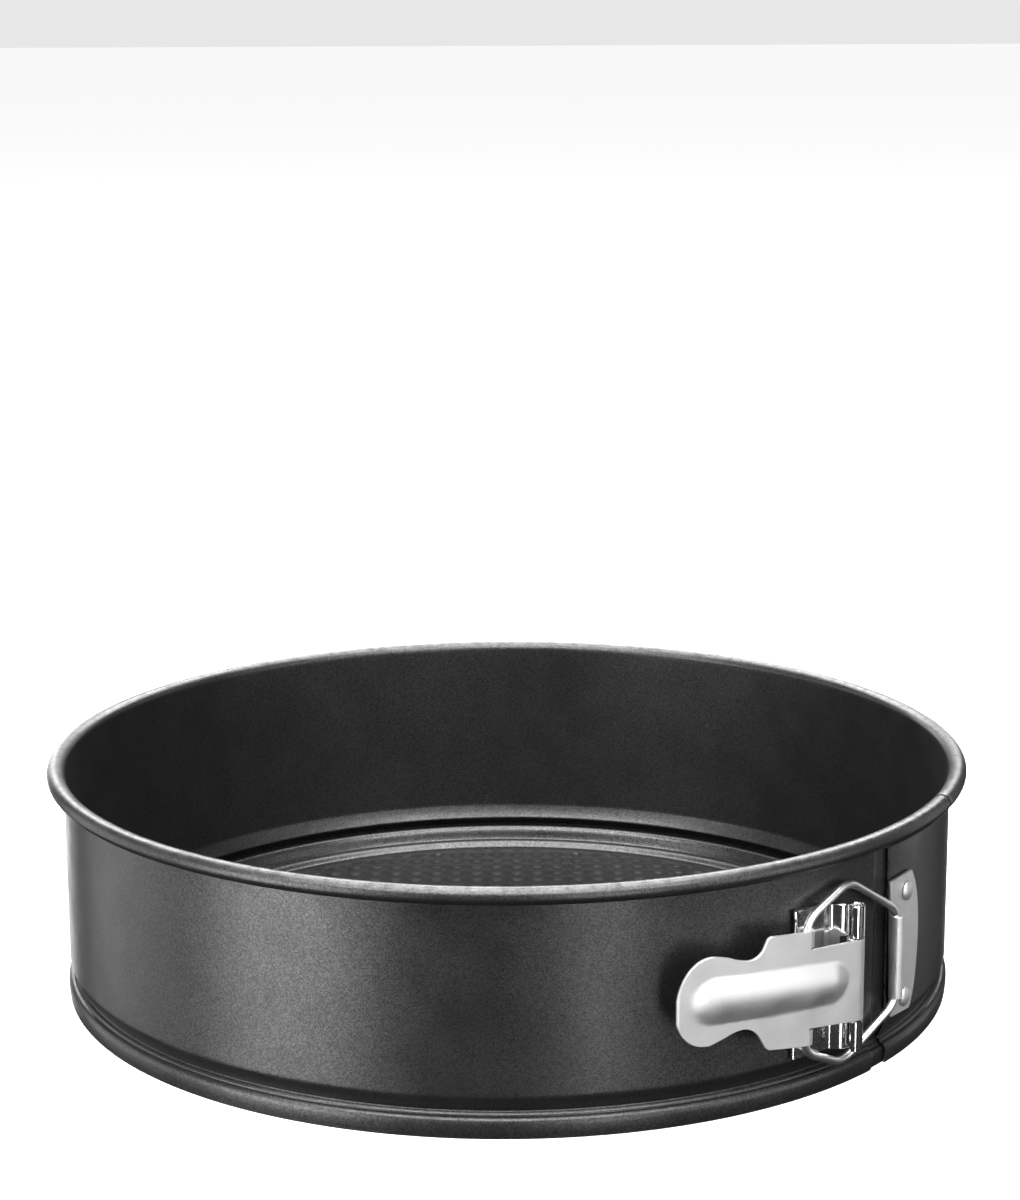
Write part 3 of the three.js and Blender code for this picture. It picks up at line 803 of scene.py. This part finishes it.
def makeBail():
    legCentre = onPan(*wire["leg"])
    start = Vector((barrelCentre.x, barrelCentre.y, 0))
    reach = (legCentre - start).length
    legCorners = [(reach + along, z) for along, z in wire["leg corners"]]
    corners = [*wire["upper arm"], *legCorners, *wire["lower arm"]]
    places = [start.lerp(legCentre, along / reach) + Vector((0, 0, z)) for along, z in corners]
    path = rounded(places, wire["bend"], 9)
    curve = bpy.data.curves.new("wire_bail", "CURVE")
    curve.dimensions = "3D"
    curve.bevel_depth = wire["radius"] * mm
    curve.bevel_resolution = 5
    curve.use_fill_caps = True
    spline = curve.splines.new("POLY")
    spline.points.add(len(path) - 1)
    for point, at in zip(spline.points, path):
        point.co = (*(at * mm), 1.0)
    spline.use_smooth = True
    return finishMesh("wire_bail", curve, wireSteel)


wireBail = makeBail()

catch = {
    "sheet": 1.0, "middle": 131.3, "width": 15,
    "barrel": (19.5, 43.0), "roll": 1.675, "roll sheet": 0.55, "roll turn": (-90, -336),
    "left": ((12.0, 1.4), (53.0, -0.4)),  # height, right of the seam
    "right": ((12.3, 12.0), (14.0, 13.2), (18, 14.9), (24, 16.2), (32, 16.9), (40, 16.6), (45.5, 15.4),
              (49, 14.0), (52.6, 11.8)),
    "bottom": (13.1, 12.4), "top": (52.4, 52.6),  # left and right ends of the edge
    "rivets": (17.0, 47.6), "rivet right": 8.4,
}


def makeCatchPlate():
    low, high = catch["barrel"]
    foot, top = catch["bottom"][1], catch["top"][1]
    heights = edged(foot, low, 7) + edged(low, high, 18)[1:] + edged(high, top, 7)[1:]
    inBarrel = [i for i, z in enumerate(heights) if low <= z < high]
    across = edged(0, catch["width"], 16)
    rollStops = [math.radians(mix(*catch["roll turn"], i / 26)) for i in range(27)]
    barrelOut = onPan(1, barrelAzimuth)
    barrelRight = onPan(1, barrelAzimuth + 90)
    places = []
    for stop in reversed(across):
        share = stop / catch["width"]
        column = []
        for z in heights:
            along = mix(through(catch["left"], z), through(catch["right"], z), share)
            ends = [mix(end[0], end[1], share) for end in (catch["bottom"], catch["top"])]
            height = mix(ends[0], ends[1], (z - foot) / (top - foot))
            height = mix(z, height, smoothStep(0.0, 0.25, share) if low <= z <= high else 1.0)
            column.append(onPan(catch["middle"], seamAzimuth + along / alongDegree, height))
        places.append(column)
    for turn in rollStops:
        along, out = catch["roll"] * math.cos(turn), catch["roll"] * math.sin(turn)
        at = Vector((barrelCentre.x, barrelCentre.y, 0)) + barrelRight * along + barrelOut * out
        places.append([at + Vector((0, 0, z)) for z in heights])
    plateEnd = len(across) - 1

    def half(j, k):
        return catch["sheet"] / 2 if j < plateEnd else catch["roll sheet"] / 2

    shell = sheetShell(places, half, metal=lambda j, k: j < plateEnd or k in inBarrel)
    return finishMesh("seam_catch_plate", cleanMesh("seam_catch_plate", *shell), satinSteel)


catchPlate = makeCatchPlate()

rivet = {"head": 2.7, "dome": 0.85, "shank": 1.3, "foot": 131.95, "inner head": 2.2, "inner depth": 1.0}


def makeRivet(name, azimuth, height, headedInside):
    head, shank, foot = rivet["head"], rivet["shank"], rivet["foot"]
    inside, innerHead = wallOutside - band["sheet"], rivet["inner head"]
    innerEnd = inside - rivet["inner depth"]
    centre = onPan(1, azimuth)
    right, up = onPan(1, azimuth + 90), Vector((0, 0, 1))
    turns = [math.radians(a) for a in (0, 15, 30, 45, 60, 72, 82)]
    dome = [(head * math.cos(turn), foot + 0.25 + rivet["dome"] * math.sin(turn)) for turn in turns]
    if headedInside:
        inner = [(0, innerEnd), (innerHead - 0.3, innerEnd), (innerHead - 0.05, innerEnd + 0.2),
                 (innerHead, inside - 0.3), (shank, inside - 0.3)]
    else:
        inner = [(0, inside), (shank - 0.15, inside), (shank, inside + 0.15)]
    section = (inner + [(shank, foot), (head - 0.15, foot), (head - 0.02, foot + 0.1)] + dome
               + [(0, foot + 0.25 + rivet["dome"])])

    def where(r, turn, out):
        return centre * out + right * (r * math.cos(turn)) + up * (r * math.sin(turn) + height)

    return turnedPiece(name, section, where, satinSteel)


bracketRivets, catchRivets = [], []
bracketAzimuth = pinAzimuth - latch["rivet left"] / alongDegree
catchAzimuth = seamAzimuth + catch["rivet right"] / alongDegree
for i, word in enumerate(("lower", "upper")):
    bracketRivets.append(makeRivet("rivet_bracket_" + word, bracketAzimuth, latch["rivets"][i], True))
    catchRivets.append(makeRivet("rivet_catch_" + word, catchAzimuth, catch["rivets"][i], False))
print("bail, catch plate and rivets made")

for piece, body, node, finish in (
    (springformBase, "base", "base_plate", "base_coating"),
    (latchEnd, "band_latch_side", "side_band_latch_half", "coating"),
    (catchEnd, "band_catch_side", "side_band_catch_half", "coating"),
    (bracket, "band_latch_side", "hinge_bracket", "chrome"),
    (hingePin, "band_latch_side", "hinge_pin", "chrome"),
    (leverPlate, "lever", "latch_lever", "satin_steel"),
    (wireBail, "bail", "bail_wire", "satin_steel"),
    (catchPlate, "band_catch_side", "catch_plate", "satin_steel"),
    (bracketRivets[0], "band_latch_side", "bracket_rivet_lower", "satin_steel"),
    (bracketRivets[1], "band_latch_side", "bracket_rivet_upper", "satin_steel"),
    (catchRivets[0], "band_catch_side", "catch_rivet_lower", "satin_steel"),
    (catchRivets[1], "band_catch_side", "catch_rivet_upper", "satin_steel"),
):
    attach(piece, body)
    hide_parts(node)
tuple(onPan(127, band["back"][1]) * mm)
tuple(onPan(127, band["back"][0]) * mm)
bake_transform(bandBack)
print("pieces on their bodies")

studio = {
    "table": 0.9, "table glow": 0.9, "table bounce": 0.12, "table half": 12.0, "table height": -0.0002,
    "room": 0.05, "room seen": 1.0,
    "lights": (  # name, azimuth, distance, height, width, tall, power, target height
        ("leftBox", -53, 1.1, 0.03, 0.72, 0.90, 14.5, 0.03),
        ("rightStrip", 22, 1.25, 0.03, 0.20, 0.90, 5.0, 0.03),
        ("rightBox", 62, 1.2, 0.15, 0.80, 0.90, 5.0, 0.03),
        ("rightSide", 116, 1.1, 0.10, 0.36, 0.90, 1.1, 0.03),
        ("leftSide", -105, 1.1, 0.03, 0.80, 0.90, 4.0, 0.03),
        ("leftEdge", -155, 1.1, 0.03, 0.30, 0.90, 3.5, 0.03),
        ("rightEdge", 160, 1.1, 0.03, 0.20, 0.90, 0.9, 0.03),
        ("backBox", 180, 1.2, 0.95, 1.60, 0.45, 30, 0.03),
        ("frontTop", -5, 0.75, 1.05, 2.20, 0.50, 36, 0.03),
        ("overhead", 180, 0.1, 1.30, 1.20, 1.20, 40, 0.0),
    ),
}


# White to the camera; everything else sees a dull table, so the foot of the pan stays dark.
def makeTable():
    size, height = studio["table half"], studio["table height"]
    corners = [(x * size, y * size, height) for x, y in ((-1, -1), (1, -1), (1, 1), (-1, 1))]
    mesh = bpy.data.meshes.new("table")
    mesh.from_pydata(corners, [], [[0, 1, 2, 3]])
    material = bpy.data.materials.new("tableTop")
    material.use_nodes = True
    tree = material.node_tree
    tree.nodes.clear()
    seen = addNode(tree, "ShaderNodeEmission")
    seen.inputs["Color"].default_value = (1, 1, 1, 1)
    seen.inputs["Strength"].default_value = studio["table glow"]
    pale = addNode(tree, "ShaderNodeBsdfDiffuse")
    pale.inputs["Color"].default_value = grey(studio["table"])
    dull = addNode(tree, "ShaderNodeBsdfDiffuse")
    dull.inputs["Color"].default_value = grey(studio["table bounce"])
    lit = addNode(tree, "ShaderNodeAddShader")
    tree.links.new(seen.outputs[0], lit.inputs[0])
    tree.links.new(pale.outputs[0], lit.inputs[1])
    chosen = addNode(tree, "ShaderNodeMixShader")
    tree.links.new(addNode(tree, "ShaderNodeLightPath").outputs["Is Camera Ray"], chosen.inputs[0])
    tree.links.new(dull.outputs[0], chosen.inputs[1])
    tree.links.new(lit.outputs[0], chosen.inputs[2])
    tree.links.new(chosen.outputs[0], addNode(tree, "ShaderNodeOutputMaterial").inputs["Surface"])
    table = finishMesh("table", mesh, material)
    # The light boxes reach below the table's top, so it may not hide or shade them.
    table.visible_glossy = False
    table.visible_shadow = False
    return table


makeTable()


# A white room to the camera that gives only a little light.
def makeRoom():
    world = bpy.data.worlds.new("studio")
    bpy.context.scene.world = world
    world.use_nodes = True
    tree = world.node_tree
    tree.nodes.clear()
    lighting, seen = addNode(tree, "ShaderNodeBackground"), addNode(tree, "ShaderNodeBackground")
    lighting.inputs["Strength"].default_value = studio["room"]
    seen.inputs["Strength"].default_value = studio["room seen"]
    chosen = addNode(tree, "ShaderNodeMixShader")
    tree.links.new(addNode(tree, "ShaderNodeLightPath").outputs["Is Camera Ray"], chosen.inputs[0])
    tree.links.new(lighting.outputs[0], chosen.inputs[1])
    tree.links.new(seen.outputs[0], chosen.inputs[2])
    tree.links.new(chosen.outputs[0], addNode(tree, "ShaderNodeOutputWorld").inputs["Surface"])


makeRoom()


def softBox(name, at, target, width, tall, power):
    light = bpy.data.lights.new(name, "AREA")
    light.shape = "RECTANGLE"
    light.size = width
    light.size_y = tall
    light.energy = power
    lamp = bpy.data.objects.new(name, light)
    bpy.context.collection.objects.link(lamp)
    lamp.location = at
    lamp.rotation_euler = (Vector(target) - Vector(at)).to_track_quat("-Z", "Y").to_euler()


for name, azimuth, distance, height, width, tall, power, aim in studio["lights"]:
    softBox(name, onPan(distance, azimuth, height), (0, 0, aim), width, tall, power)

view = {"target height": 29.8, "distance": 840.4, "elevation": 18.107, "down": 12.568, "aside": 0.086,
        "roll": -0.242, "lens": 83.48}


def makeCamera():
    lens = bpy.data.cameras.new("camera")
    lens.lens = view["lens"]
    lens.sensor_width = 36
    lens.clip_start = 0.01
    camera = bpy.data.objects.new("camera", lens)
    bpy.context.collection.objects.link(camera)
    turns = ("elevation", "down", "aside", "roll")
    rise, down, aside, roll = (math.radians(view[key]) for key in turns)
    at = Vector((0, -math.cos(rise), math.sin(rise))) * view["distance"]
    at.z += view["target height"]
    level = math.cos(down)
    ahead = Vector((math.sin(aside) * level, math.cos(aside) * level, -math.sin(down)))
    right = ahead.cross(Vector((0, 0, 1))).normalized()
    up = right.cross(ahead)
    right, up = (right * math.cos(roll) + up * math.sin(roll),
                 up * math.cos(roll) - right * math.sin(roll))
    turn = Matrix((right, up, -ahead)).transposed().to_4x4()
    camera.matrix_world = Matrix.Translation(at * mm) @ turn
    bpy.context.scene.camera = camera


makeCamera()
bpy.context.scene.view_settings.view_transform = "Standard"
print("studio made")
